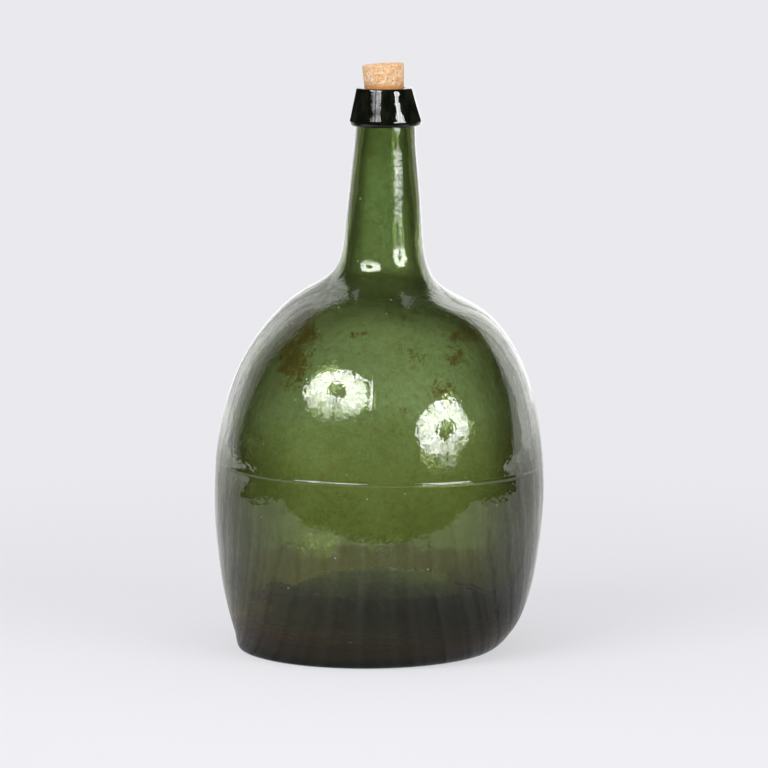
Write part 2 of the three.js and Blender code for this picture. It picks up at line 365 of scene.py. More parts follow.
def collar_profile():
    """Outline of the collar, once round, from the foot of its socket outwards."""
    neck, mouth = OUTSIDE[NECK_STATION:], OUTSIDE[COLLAR_STATION:]
    runs = [station_curve(a, b) for a, b in zip(neck, mouth)]
    socket = offset(joined(runs), -COLLAR_GAP)
    socket = socket[socket[:, 1] > COLLAR_BOTTOM + COLLAR_CHAMFER]
    inner, lap = socket[0, 0], socket[-1]
    land = (inner + COLLAR_LAND, COLLAR_BOTTOM)
    lower = bezier((land, (COLLAR_WIDEST - COLLAR_LOWER_ROUND, COLLAR_BOTTOM),
                    (COLLAR_WIDEST, COLLAR_BOTTOM), (COLLAR_WIDEST, COLLAR_WIDEST_AT)))
    shoulder = (COLLAR_TOP_RADIUS + COLLAR_DRAFT, COLLAR_TOP - COLLAR_UPPER_ROUND)
    corner = (COLLAR_TOP_RADIUS, COLLAR_TOP)
    crest = (COLLAR_TOP_RADIUS - COLLAR_UPPER_ROUND, COLLAR_TOP)
    upper = bezier((shoulder, corner, corner, crest))
    flare = (MOUTH_FLARE, COLLAR_TOP)
    soft = (MOUTH_RADIUS + MOUTH_SOFTNESS, COLLAR_TOP - MOUTH_SOFTNESS)
    mouth = bezier((flare, soft, soft, (MOUTH_RADIUS, COLLAR_TOP - MOUTH_DEPTH)))
    bore = [(MOUTH_RADIUS, lap[1])]
    foot = [(inner, COLLAR_BOTTOM + COLLAR_CHAMFER), land]
    return np.vstack([lower, upper, mouth, bore, socket[::-1], foot])


def build_collar():
    """The applied collar, with the dents of its tooling and an uneven lower edge."""
    profile = spaced(collar_profile(), COLLAR_STEP)[:-1]
    angles = np.arange(COLLAR_COLUMNS) * 2 * math.pi / COLLAR_COLUMNS
    radius, height = profile[:, :1], profile[:, 1:]
    neck_radius = OUTSIDE[COLLAR_STATION][0] + COLLAR_NECK_CLEARANCE
    neck = np.interp(height, [COLLAR_BOTTOM, COLLAR_TOP], [neck_radius, MOUTH_FLARE])
    skin = smooth(radius - neck, *COLLAR_SKIN)
    x, y = radius * np.cos(angles), radius * np.sin(angles)
    places = np.stack([x, y, np.broadcast_to(height, x.shape)], axis=-1)
    dents = DENT * (np.minimum(Waves(DENT_SEED, DENT_LENGTHS).at(places), DENT_CAP) - DENT_CAP)
    reach = radius + skin * dents
    edge = Waves(EDGE_SEED, EDGE_LENGTHS).at(places * (1, 1, 0))
    low = 1 - smooth(height, COLLAR_BOTTOM, COLLAR_BOTTOM + EDGE_FADE)
    lifted = height + EDGE_LIFT * low * skin * (1 + np.clip(edge, -1, 1))
    x = reach * np.cos(angles) + axis_shift(height)
    places = np.stack([x, reach * np.sin(angles), lifted], axis=-1)
    faces = band_faces(*places.shape[:2], closed=True)
    return make_mesh("tooled_collar", places.reshape(-1, 3), faces)


def granule_relief(places):
    """Depth of the gaps between granules, each place's granule tone, and the gaps' share."""
    draw = np.random.default_rng(GRANULE_SEED)
    low, high = places.min(axis=0) - GRANULE, places.max(axis=0) + GRANULE
    middles = draw.uniform(low, high, (GRANULES, 3))
    tones, pits = draw.uniform(0, 1, GRANULES), draw.uniform(0, 1, GRANULES)
    tree = KDTree(GRANULES)
    for index, middle in enumerate(middles):
        tree.insert(middle, index)
    tree.balance()
    depth, tone, gap = np.zeros(len(places)), np.zeros(len(places)), np.zeros(len(places))
    for index, place in enumerate(places):
        (_, first, near), (_, _, far) = tree.find_n(place, 2)
        gap[index] = 1 - smooth(far - near, 0, GAP_WIDTH)
        pitted = smooth(pits[first], *PITTED)
        pit = PIT_DEPTH * pitted * (1 - smooth(near, *PIT_REACH))
        depth[index] = GRANULE_GAP * gap[index] + pit
        tone[index] = tones[first] * (1 - pitted)
    return depth, tone, gap


def build_cork():
    """The tapered cork: granules pressed together, leaning a little in the mouth."""
    bottom, top = -CORK_SEATED, CORK_LENGTH - CORK_SEATED
    outline = np.array([
        (0, bottom), (CORK_BOTTOM - CORK_BEVEL, bottom), (CORK_BOTTOM, bottom + CORK_BEVEL),
        (CORK_TOP, top - CORK_BEVEL), (CORK_TOP - CORK_BEVEL, top), (0, top)], float)
    profile = spaced(outline, CORK_STEP)[1:-1]
    angles = np.arange(CORK_COLUMNS) * 2 * math.pi / CORK_COLUMNS
    radius, height = profile[:, :1], profile[:, 1:]
    x, y = radius * np.cos(angles), radius * np.sin(angles)
    places = np.stack([x, y, np.broadcast_to(height, x.shape)], axis=-1)
    count = places.shape[:2]
    places = np.vstack([places.reshape(-1, 3), [(0, 0, bottom), (0, 0, top)]])
    depth, tone, gap = granule_relief(places)
    inwards = np.array([0, 0, (top + bottom) / 2]) - places
    inwards /= np.linalg.norm(inwards, axis=1)[:, None]
    places = places + inwards * depth[:, None]
    x, y, z = places.T
    cos, sin = math.cos(CORK_LEAN), math.sin(CORK_LEAN)
    leaning = np.column_stack([x * cos - z * sin + axis_shift(COLLAR_TOP), y,
                               x * sin + z * cos + COLLAR_TOP])
    faces = band_faces(*count) + fan_faces(*count)
    return make_mesh("granule_cork", leaning, faces, {"tone": tone, "gap": gap})


class Nodes:
    """A node tree, built by short calls. A value that is a socket is linked, others are set."""

    def __init__(self, tree):
        tree.nodes.clear()
        self.tree = tree

    def add(self, kind, values=None, **settings):
        node = self.tree.nodes.new("ShaderNode" + kind)
        for label, setting in settings.items():
            setattr(node, label, setting)
        for label, value in (values or {}).items():
            if isinstance(value, bpy.types.NodeSocket):
                self.tree.links.new(value, node.inputs[label])
            else:
                node.inputs[label].default_value = value
        return node

    def math(self, operation, first, second=0.0, clamp=False):
        node = self.add("Math", {0: first, 1: second}, operation=operation, use_clamp=clamp)
        return node.outputs[0]

    def ramp(self, value, low, high, start=0.0, end=1.0):
        """A smooth step from start to end as the value goes from low to high."""
        values = {
            "Value": value, "From Min": low, "From Max": high, "To Min": start, "To Max": end}
        return self.add("MapRange", values, interpolation_type="SMOOTHSTEP").outputs[0]

    def mix(self, factor, first, second):
        """Two colours mixed."""
        node = self.add("Mix", data_type="RGBA")
        for index, value in ((0, factor), (6, first), (7, second)):
            if isinstance(value, bpy.types.NodeSocket):
                self.tree.links.new(value, node.inputs[index])
            else:
                node.inputs[index].default_value = value
        return node.outputs[2]

    def chain(self, operation, first, *others):
        """The same operation along a row of values."""
        for other in others:
            first = self.math(operation, first, other)
        return first

    def noise(self, vector, scale, detail=2.0, roughness=0.5):
        values = {"Vector": vector, "Scale": scale, "Detail": detail, "Roughness": roughness}
        return self.add("TexNoise", values).outputs[0]

    def stretched(self, vector, scale):
        """A vector or colour times a scale, one factor for each part of it."""
        values = {0: vector, 1: scale}
        return self.add("VectorMath", values, operation="MULTIPLY").outputs[0]

    def vertex_value(self, label):
        return self.add("Attribute", attribute_name=label).outputs["Fac"]

    def bump(self, height, distance, normal=None):
        values = {"Height": height, "Distance": distance, "Strength": 1.0}
        if normal is not None:
            values["Normal"] = normal
        return self.add("Bump", values).outputs[0]

    def output(self, surface, volume=None):
        values = {"Surface": surface}
        if volume is not None:
            values["Volume"] = volume
        self.add("OutputMaterial", values)


def new_material(name):
    material = bpy.data.materials.new(name)
    material.use_nodes = True
    return material, Nodes(material.node_tree)


# Bottle glass: what one surface lets through, from the foot up, and the heights over which
# each tint sets in. Places in the materials are in metres.
GLASS_IOR = 1.5
FOOT_TINT = (0.60, 0.71, 0.44, 1)
BELLY_TINT, BELLY_SPAN = (0.72, 0.87, 0.66, 1), (0.145, 0.18)
ROOT_TINT, ROOT_SPAN = (0.67, 0.83, 0.61, 1), (0.258, 0.285)
NECK_TINT, NECK_SPAN = (0.69, 0.88, 0.65, 1), (0.305, 0.35)
# Painted shade: the tint darkens at the top of the neck, just under the collar.
NECK_TOP_SHADE_SPAN, NECK_TOP_SHADE_SHARE = (0.375, 0.395), 0.93
# Painted shade: the tint darkens on the bottle's right side.
RIGHT_SHADE_SPAN, RIGHT_SHADE_SHARE = (0.078, 0.1), 0.82
# How much of it is left where the surface is seen aslant, and what the glass takes in its depth.
# The aslant and rim darkening is painted shade at the edges, partly standing for the longer path
# through the glass.
ASLANT_SPAN, ASLANT_SHARE = (0.08, 0.42), 0.5
RIM_SPAN, RIM_SHARE = (0.36, 0.5), 0.62
GLASS_DEPTH_COLOUR, GLASS_DENSITY = (0.358, 0.378, 0.0, 1), 176

# Noises are given as scale, detail and roughness, and ramps as from, to, start and end.
FINE_NOISE, FINE_SHARE = (620, 5, 0.65), 1.7
BLOTCH_NOISE, BLOTCH_SHARE = (170, 6, 0.68), 1.5
HAZE_NOISE, HAZE_RAMP = (22, 4), (0.45, 0.8, 0.004, 0.02)

# What dried inside: the tide line, the sludge in the trough, and the silt on the push-up.
TIDE_NOISE, TIDE_WANDER = (30, 4, 0.6), 0.0015
TIDE_HEIGHT, TIDE_EDGE, FILM_TINT = 0.0585, 0.0025, (0.43, 0.32, 0.12, 1)
DEEP_RAMP = (0.018, 0.040, 1.0, 0.12)
FLOOR_REACH, FLOOR_EDGE = 0.088, 0.01
CROWN_RAMP = (0.042, 0.052, 1.0, 0.85)
SLUDGE_DARK, SLUDGE_BROWN, CRUST_RAMP = (0.13, 0.06, 0.03, 1), (0.26, 0.12, 0.05, 1), (0.4, 0.7)
SLUDGE_ROUGHNESS = 0.45

# Stains and dust on the inside, dirt on the outside of the foot, and seeds in the glass.
STAIN_TINT, STAIN_SHARE, STAIN_BOUND = (0.52, 0.26, 0.05, 1), 0.55, (0.0, 0.25)
SPOT_RAMP, SPOT_COVER = (1.9, 2.15), 0.3
DUST_RAMP, BLOOM_COVER = (1.5, 1.85, 0.0, 0.4), 0.08
DIRT_TINT, DIRT_TINTING, DIRT_COVER = (0.5, 0.3, 0.13, 1), 0.8, 0.04
DIRT_FROM, DIRT_FULL, DIRT_TOP = 0.002, 0.012, 0.052
SEED_SCALE, SEED_RAMP = 60, (0.03, 0.05, 1.0, 0.0)
SEED_COLOUR, SEED_COVER = (0.85, 0.9, 0.7, 1), 0.35

# Small relief of the glass: how the noise is stretched, the noise, and its depth in metres.
RIPPLE_STRETCH, RIPPLE_NOISE, RIPPLE_DEPTH = (1, 1, 0.12), (230, 1), 0.0001
PUCKER_NOISE, PUCKER_DEPTH = (90, 2, 0.7), 0.00018
PEEL_STRETCH, PEEL_NOISE, PEEL_DEPTH = (1, 1, 0.7), (420, 1), 0.00005


def bottle_glass():
    """Green glass with upright ripples and seeds, and what dried wine left on the inside."""
    material, nodes = new_material("bottle_glass")
    place = nodes.add("TexCoord").outputs["Object"]
    sides = nodes.add("SeparateXYZ", {0: place})
    right, height = sides.outputs[0], sides.outputs[2]
    aside = nodes.stretched(place, (1, 1, 0))
    aside = nodes.add("VectorMath", {0: aside}, operation="LENGTH").outputs["Value"]
    inner = nodes.vertex_value("inner")
    outer = nodes.math("SUBTRACT", 1.0, inner)
    stain = nodes.vertex_value("stain")
    bloom = nodes.vertex_value("bloom")
    fine = nodes.noise(place, *FINE_NOISE)
    blotch = nodes.noise(place, *BLOTCH_NOISE)

    wander = nodes.math("MULTIPLY", nodes.noise(place, *TIDE_NOISE), TIDE_WANDER)
    tide = nodes.math("ADD", height, wander)
    below = nodes.ramp(tide, TIDE_HEIGHT, TIDE_HEIGHT + TIDE_EDGE, 1.0, 0.0)
    deep = nodes.ramp(tide, *DEEP_RAMP)
    silt = nodes.ramp(aside, FLOOR_REACH, FLOOR_REACH + FLOOR_EDGE, 1.0, 0.0)
    silt = nodes.math("MULTIPLY", silt, nodes.ramp(tide, *CROWN_RAMP))
    thick = nodes.math("MAXIMUM", deep, silt)
    sludge = nodes.chain("MULTIPLY", below, thick, inner)

    grain = nodes.math("ADD", nodes.math("MULTIPLY", fine, FINE_SHARE),
                       nodes.math("MULTIPLY", blotch, BLOTCH_SHARE))
    mottled = nodes.math("ADD", nodes.math("MULTIPLY", stain, STAIN_SHARE), grain)
    spots = nodes.chain(
        "MULTIPLY", nodes.ramp(mottled, *SPOT_RAMP), nodes.ramp(stain, *STAIN_BOUND), inner)
    dust = nodes.math("MULTIPLY", nodes.ramp(grain, *DUST_RAMP), inner)
    dirt = nodes.chain(
        "MULTIPLY", nodes.ramp(height, DIRT_FULL, DIRT_TOP, 1.0, 0.0),
        nodes.ramp(height, DIRT_FROM, DIRT_FULL), outer)
    seeds = nodes.add("TexVoronoi", {"Vector": place, "Scale": SEED_SCALE}).outputs["Distance"]
    seeds = nodes.ramp(seeds, *SEED_RAMP)

    aslant = nodes.add("LayerWeight", {"Blend": 0.5}).outputs["Facing"]
    green = nodes.mix(nodes.ramp(height, *BELLY_SPAN), FOOT_TINT, BELLY_TINT)
    green = nodes.mix(nodes.ramp(height, *ROOT_SPAN), green, ROOT_TINT)
    green = nodes.mix(nodes.ramp(height, *NECK_SPAN), green, NECK_TINT)
    # Painted shade at the edges where the surface is seen aslant, partly standing for the longer
    # path through the glass.
    green = nodes.stretched(green, nodes.ramp(aslant, *ASLANT_SPAN, 1.0, ASLANT_SHARE))
    green = nodes.stretched(green, nodes.ramp(aslant, *RIM_SPAN, 1.0, RIM_SHARE))
    # Painted shade under the collar at the top of the neck.
    green = nodes.stretched(green, nodes.ramp(height, *NECK_TOP_SHADE_SPAN, 1.0, NECK_TOP_SHADE_SHARE))
    # Painted shade on the right side of the bottle.
    green = nodes.stretched(green, nodes.ramp(right, *RIGHT_SHADE_SPAN, 1.0, RIGHT_SHADE_SHARE))
    colour = nodes.mix(nodes.math("ADD", dust, spots, clamp=True), green, STAIN_TINT)
    colour = nodes.mix(nodes.math("MULTIPLY", below, inner), colour, FILM_TINT)
    crust = nodes.mix(nodes.ramp(blotch, *CRUST_RAMP), SLUDGE_DARK, SLUDGE_BROWN)
    colour = nodes.mix(sludge, colour, crust)
    colour = nodes.mix(nodes.math("MULTIPLY", dirt, DIRT_TINTING), colour, DIRT_TINT)
    colour = nodes.mix(seeds, colour, SEED_COLOUR)

    covers = ((spots, SPOT_COVER), (bloom, BLOOM_COVER), (dirt, DIRT_COVER), (seeds, SEED_COVER))
    covered = [nodes.math("MULTIPLY", layer, cover) for layer, cover in covers]
    film = nodes.chain("MAXIMUM", sludge, *covered)
    clear = nodes.math("SUBTRACT", 1.0, film, clamp=True)
    haze = nodes.ramp(nodes.noise(place, *HAZE_NOISE), *HAZE_RAMP)
    roughness = nodes.math("ADD", haze, nodes.math("MULTIPLY", sludge, SLUDGE_ROUGHNESS))

    ripples = nodes.noise(nodes.stretched(place, RIPPLE_STRETCH), *RIPPLE_NOISE)
    pucker = nodes.noise(place, *PUCKER_NOISE)
    orange_peel = nodes.noise(nodes.stretched(place, PEEL_STRETCH), *PEEL_NOISE)
    normal = nodes.bump(ripples, RIPPLE_DEPTH)
    normal = nodes.bump(pucker, PUCKER_DEPTH, normal)
    normal = nodes.bump(orange_peel, PEEL_DEPTH, normal)
    glass = nodes.add("BsdfPrincipled", {
        "Base Color": colour, "Roughness": roughness, "IOR": GLASS_IOR,
        "Transmission Weight": clear, "Normal": normal})
    depth = nodes.add("VolumeAbsorption", {"Color": GLASS_DEPTH_COLOUR, "Density": GLASS_DENSITY})
    nodes.output(glass.outputs[0], depth.outputs[0])
    return material


# Collar glass: its streaks, its gloss and its small relief.
COLLAR_BLACK, COLLAR_GREEN, COLLAR_IOR = (0.003, 0.004, 0.002, 1), (0.012, 0.013, 0.008, 1), 1.52
STREAK_STRETCH, STREAK_NOISE, STREAK_RAMP = (1, 1, 0.35), (180, 4), (0.4, 0.75)
GLOSS_NOISE, GLOSS_RAMP = (300, 4), (0.4, 0.7, 0.02, 0.06)
DIMPLE_NOISE, DIMPLE_DEPTH = (170, 2), 0.00006
SKIN_NOISE, SKIN_DEPTH = (620, 3), 0.00001


def collar_glass():
    """Thick green glass that looks nearly black, glossy from the fire."""
    material, nodes = new_material("collar_glass")
    place = nodes.add("TexCoord").outputs["Object"]
    streaks = nodes.noise(nodes.stretched(place, STREAK_STRETCH), *STREAK_NOISE)
    colour = nodes.mix(nodes.ramp(streaks, *STREAK_RAMP), COLLAR_BLACK, COLLAR_GREEN)
    roughness = nodes.ramp(nodes.noise(place, *GLOSS_NOISE), *GLOSS_RAMP)
    normal = nodes.bump(nodes.noise(place, *DIMPLE_NOISE), DIMPLE_DEPTH)
    normal = nodes.bump(nodes.noise(place, *SKIN_NOISE), SKIN_DEPTH, normal)
    glass = nodes.add("BsdfPrincipled", {
        "Base Color": colour, "Roughness": roughness, "IOR": COLLAR_IOR, "Normal": normal})
    nodes.output(glass.outputs[0])
    return material


# Cork: the two ends of a granule's tone, then what lies over it, each with its colour.
PALE_CORK, DEEP_CORK, TONE_SHARE = (1.0, 0.83, 0.58, 1), (0.86, 0.55, 0.30, 1), 0.8
GRAIN_NOISE, GRAIN_RAMP, GRAIN_COLOUR = (900, 5, 0.65), (0.5, 0.7, 0.0, 0.6), (0.62, 0.30, 0.12, 1)
GAP_SHARE, GAP_COLOUR = 0.35, (0.42, 0.19, 0.07, 1)
RUST_NOISE, RUST_RAMP, RUST_COLOUR = (260, 3), (0.48, 0.64, 0.0, 0.7), (0.78, 0.38, 0.13, 1)
SPECK_NOISE, SPECK_RAMP = (760, 2, 0.6), (0.6, 0.66)
SPECK_SHARE, SPECK_COLOUR = 0.9, (0.30, 0.10, 0.03, 1)
WINE_RAMP, WINE_COLOUR = (0.4405, 0.4465, 0.8, 0.0), (0.58, 0.25, 0.07, 1)
CORK_RELIEF, CORK_ROUGHNESS, CORK_SPECULAR = 0.00025, 0.86, 0.25


def cork_skin():
    """Matt cork: a tone for each granule, dark gaps and specks, and a wine-stained foot."""
    material, nodes = new_material("cork")
    place = nodes.add("TexCoord").outputs["Object"]
    height = nodes.add("SeparateXYZ", {0: place}).outputs[2]
    tone = nodes.vertex_value("tone")
    gap = nodes.vertex_value("gap")
    grain = nodes.noise(place, *GRAIN_NOISE)
    specks = nodes.ramp(nodes.noise(place, *SPECK_NOISE), *SPECK_RAMP)
    rust = nodes.ramp(nodes.noise(place, *RUST_NOISE), *RUST_RAMP)
    colour = nodes.mix(nodes.math("MULTIPLY", tone, TONE_SHARE), DEEP_CORK, PALE_CORK)
    colour = nodes.mix(nodes.ramp(grain, *GRAIN_RAMP), colour, GRAIN_COLOUR)
    colour = nodes.mix(nodes.math("MULTIPLY", gap, GAP_SHARE), colour, GAP_COLOUR)
    colour = nodes.mix(rust, colour, RUST_COLOUR)
    colour = nodes.mix(nodes.math("MULTIPLY", specks, SPECK_SHARE), colour, SPECK_COLOUR)
    colour = nodes.mix(nodes.ramp(height, *WINE_RAMP), colour, WINE_COLOUR)
    skin = nodes.add("BsdfPrincipled", {
        "Base Color": colour, "Roughness": CORK_ROUGHNESS, "Specular IOR Level": CORK_SPECULAR,
        "Normal": nodes.bump(grain, CORK_RELIEF)})
    nodes.output(skin.outputs[0])
    return material


def finish_pieces():
    """Each piece stands for its CAD node, which is hidden, and rides on that node's body."""
    for build, dress, node, body, slot in (
        (build_body, bottle_glass, "glass_body", "bottle", "bottle_glass"),
        (build_collar, collar_glass, "applied_lip", "bottle", "collar_glass"),
        (build_cork, cork_skin, "cork_stopper", "cork", "cork"),
    ):
        piece = build()
        piece.data.materials.append(dress())
        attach(piece, body)
        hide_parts(node)


# Stage, in metres. Azimuths are in degrees from the front, positive towards the right. The wall,
# the flags and the curtain count their turns in degrees from +Y, positive towards the left.
PALE, PALE_LIGHT = (0.82, 0.82, 0.85, 1), 0.55
FLOOR_COLOUR, FLOOR_RADIUS, FLOOR_CORNERS = (0.86, 0.86, 0.88, 1), 6.0, 96
FLOOR_NEAR, FLOOR_FAR, FLOOR_LEAST = 0.3, 0.95, 0.65
TABLE_FRONT, TABLE_SIDE, TABLE_BACK, TABLE_LIFT = -0.46, 1.05, 0.35, 0.002
NEUTRAL, DARK_GLOW = (1.0, 1.0, 1.01, 1), 0.02
# A ray whose glossy depth is above this was reflected on its way.
REFLECTED = 0.5
# Pleats of hanging cloth: waves to the full turn, and how strong their light and shade are.
PLEATS, WALL_PLEAT_DEPTH, SHADE_PLEAT_DEPTH = (23, 41, 67, 101), 0.15, 0.1

# Bright end wall: its light at each turn, its two ends, its top and its dimmer sill.
DOME_RADIUS, DOME_COLUMNS, DOME_ROWS = 4.2, 480, 36
WALL_TURNS = (-76, -64, -56, -48, -39, -30, -18, 0, 18, 23, 28, 33, 38, 44, 48, 56, 64)
WALL_GLOWS = (
    0.9, 1.1, 1.9, 2.3, 2.0, 2.3, 2.1, 1.5, 1.35, 1.0, 1.9, 2.4, 1.9, 1.5, 1.3, 0.65, 0.4)
WALL_LEFT, WALL_RIGHT, WALL_RIGHT_SLANT, WALL_SOFTNESS = 64, -73, 0.45, 1.5
WALL_RISE, WALL_RISE_LEFT, WALL_RISE_TURNS, WALL_TOP_SOFTNESS = 0.95, 1.0, (-30, 20), 4
WALL_SILL, WALL_SILL_TURNS, WALL_BELOW_SILL = (-3, 4), (25, 35), 0.75

# Floor round the foot as the glass reflects it: rings outwards, and the light of each.
SHADE_REACHES = (0.09, 0.12, 0.16, 0.22, 0.42, 1.0, 2.2, 4.2)
SHADE_GLOWS = (0.28, 0.32, 0.42, 0.64, 0.9, 0.85, 1.3, 2.0)
SHADE_COLUMNS, SHADE_LIFT = 480, 0.001

# Flags close to the collar and the neck: their heights, and their light at each turn.
FLAG_REACH, FLAG_MIDDLE, FLAG_COLUMNS = 0.045, 0.0045, 48
COLLAR_FLAG, COLLAR_FLAG_DROP = (0.4115, 0.475), 0
COLLAR_FLAG_TURNS, COLLAR_FLAG_GLOWS = (55, 130), (0.02, 0.02)
NECK_FLAG, NECK_FLAG_DROP = (0.35, 0.4115), 0.052
NECK_FLAG_TURNS, NECK_FLAG_GLOWS = (66, 84, 92, 114), (0.9, 0.9, 0.1, 0.1)

# Curtain: open behind the bottle, and the share that it lets through where it is shut.
CURTAIN_REACH, CURTAIN_HIGH, CURTAIN_COLUMNS = 1.0, 2.5, 180
CURTAIN_OPEN, CURTAIN_SHUT, CURTAIN_SHARE = 24, 52, 0.2

# Umbrellas: azimuth, elevation, half width and half height in degrees, and the spread of the
# light in the foot. That spread and all spans count from the cloth's middle, 1 being its edge.
# The gap for the stand is in degrees to each side of it.
LEFT_UMBRELLA = (-38, 33, 25, 13.6, 3)
RIGHT_UMBRELLA = (48, 13.4, 20.5, 12.8, 0.25)
UMBRELLA_AWAY, UMBRELLA_AIM, UMBRELLA_GLOW = 3.4, 0.22, 17
UMBRELLA_RINGS, UMBRELLA_COLUMNS, UMBRELLA_PANELS = 12, 289, 8
UMBRELLA_HOLE, UMBRELLA_STAND_GAP = 0.3, 3
UMBRELLA_RIM, UMBRELLA_RIM_SPAN, UMBRELLA_TOP_SPAN = 0.4, (0.6, 1), (0.4, 0.8)
UMBRELLA_FOLDS, UMBRELLA_FOLD_DEPTH = (11, 19, 31), 0.25
UMBRELLA_LOW_SPAN, UMBRELLA_LOW_GLOW = (-1, -0.2), 0.12
UMBRELLA_FOOT_SPAN, UMBRELLA_FOOT_MIDDLE = (0.45, 0.62), -0.1

# Lamps: azimuth, elevation, distance, width and watts.
LEFT_LAMP = (-41, 40, 2.2, 1.2, 24)
RIGHT_LAMP = (46, 24, 2.2, 1.2, 22)
TOP_LAMP = (0, 80, 2.6, 1.8, 8)


def way_to(azimuth, elevation):
    """The unit vector that points there from the origin."""
    turn, rise = math.radians(azimuth), math.radians(elevation)
    level = math.cos(rise)
    return np.array([math.sin(turn) * level, -math.cos(turn) * level, math.sin(rise)])


def stage_mesh(name, places, faces, material):
    """An object of the studio, from places in metres."""
    mesh = bpy.data.meshes.new(name)
    mesh.from_pydata([tuple(place) for place in places], [], faces)
    mesh.materials.append(material)
    piece = bpy.data.objects.new(name, mesh)
    bpy.context.scene.collection.objects.link(piece)
    return piece


def give_glow(piece, glows):
    """The light of a card at each of its vertices."""
    layer = piece.data.attributes.new("glow", "FLOAT", "POINT")
    layer.data.foreach_set("value", np.ravel(glows).astype(np.float32))


def only_in_reflections(piece):
    """Keeps a card out of the picture, off the matt surfaces and without a shadow."""
    piece.visible_camera = False
    piece.visible_diffuse = False
    piece.visible_shadow = False
    piece.visible_volume_scatter = False


def after_reflection(nodes):
    """One for a ray that was reflected on its way here, and nothing for any other."""
    return nodes.math("GREATER_THAN", nodes.add("LightPath").outputs["Glossy Depth"], REFLECTED)


def card_material(name, strength=None):
    """Light that only a reflected ray meets, so that glass still shows what is behind the card."""
    material, nodes = new_material(name)
    reflected = after_reflection(nodes)
    strength = nodes.vertex_value("glow") if strength is None else strength
    glow = nodes.add("Emission", {"Color": NEUTRAL, "Strength": strength})
    clear = nodes.add("BsdfTransparent")
    shown = nodes.add("MixShader", {0: reflected, 1: clear.outputs[0], 2: glow.outputs[0]})
    nodes.output(shown.outputs[0])
    material.cycles.emission_sampling = "NONE"
    return material


def pale_strength(nodes):
    """Full for what is seen, also in glass and in reflections, and less as a light."""
    path = nodes.add("LightPath")
    seen = nodes.math("ADD", path.outputs["Is Camera Ray"], path.outputs["Is Glossy Ray"])
    seen = nodes.math("ADD", seen, path.outputs["Is Transmission Ray"], clamp=True)
    return nodes.math("ADD", nodes.math("MULTIPLY", seen, 1 - PALE_LIGHT), PALE_LIGHT)


def make_world():
    """An even pale backdrop all round."""
    world = bpy.data.worlds.new("studio")
    world.use_nodes = True
    nodes = Nodes(world.node_tree)
    strength = pale_strength(nodes)
    shade = nodes.add("Background", {"Color": PALE, "Strength": strength})
    nodes.add("OutputWorld", {"Surface": shade.outputs[0]})
    bpy.context.scene.world = world


def make_floor():
    """A matt floor that turns into the even background with distance."""
    material, nodes = new_material("pale_floor")
    place = nodes.add("NewGeometry").outputs["Position"]
    away = nodes.add("VectorMath", {0: place}, operation="LENGTH").outputs["Value"]
    far = nodes.ramp(away, FLOOR_NEAR, FLOOR_FAR, FLOOR_LEAST, 1.0)
    matt = nodes.add("BsdfDiffuse", {"Color": FLOOR_COLOUR})
    even = nodes.add("Emission", {"Color": PALE, "Strength": pale_strength(nodes)})
    shown = nodes.add("MixShader", {0: far, 1: matt.outputs[0], 2: even.outputs[0]})
    nodes.output(shown.outputs[0])
    material.cycles.emission_sampling = "NONE"
    corners = [(FLOOR_RADIUS * math.cos(turn), FLOOR_RADIUS * math.sin(turn), 0)
               for turn in np.linspace(0, 2 * math.pi, FLOOR_CORNERS, endpoint=False)]
    stage_mesh("floor", corners, [tuple(range(FLOOR_CORNERS))], material)


def pleated(turns, depth):
    """Light and shade of hanging cloth, as a share of its light."""
    return 1 + depth * sum(np.sin(turns * count + count) for count in PLEATS)


def wall_glow(behind, elevation):
    """Light of the bright end wall, at so many degrees to the left of +Y and so high."""
    rise = WALL_RISE + WALL_RISE_LEFT * smooth(behind, *WALL_RISE_TURNS)
    top = np.degrees(np.arctan(rise * np.cos(np.radians(behind))))
    right = WALL_RIGHT + WALL_RIGHT_SLANT * elevation
    shown = between(behind, right, WALL_LEFT, WALL_SOFTNESS)
    shown *= 1 - smooth(elevation, top - WALL_TOP_SOFTNESS, top + WALL_TOP_SOFTNESS)
    low = (1 - smooth(elevation, *WALL_SILL)) * smooth(-behind, *WALL_SILL_TURNS)
    shown *= 1 - low * (1 - WALL_BELOW_SILL)
    glow = np.interp(behind, WALL_TURNS, WALL_GLOWS)
    return shown * glow * pleated(np.radians(behind), WALL_PLEAT_DEPTH)


def make_dome():
    """The dark studio and its bright end wall, as the glass reflects them."""
    material = card_material("studio_dome")
    behinds = np.linspace(-180, 180, DOME_COLUMNS, endpoint=False)
    elevations = np.linspace(0, 90, DOME_ROWS)
    elevation, behind = np.meshgrid(elevations, behinds, indexing="ij")
    glows = DARK_GLOW + wall_glow(behind, elevation)
    places = [way_to(180 + turn, rise) * DOME_RADIUS for rise in elevations for turn in behinds]
    dome = stage_mesh("studio_dome", places, band_faces(DOME_ROWS, DOME_COLUMNS), material)
    give_glow(dome, glows)
    only_in_reflections(dome)


def make_dark_ground():
    """What lies past the table's edges, where the glass reflects it."""
    edge = DOME_RADIUS
    places, faces = [], []
    for left, front, right, back in (
        (-edge, -edge, edge, TABLE_FRONT),
        (-edge, TABLE_FRONT, -TABLE_SIDE, TABLE_BACK),
        (TABLE_SIDE, TABLE_FRONT, edge, TABLE_BACK),
    ):
        start = len(places)
        places += [(left, front, TABLE_LIFT), (right, front, TABLE_LIFT),
                   (right, back, TABLE_LIFT), (left, back, TABLE_LIFT)]
        faces.append(tuple(range(start, start + 4)))
    material = card_material("dark_ground", DARK_GLOW)
    only_in_reflections(stage_mesh("dark_ground", places, faces, material))


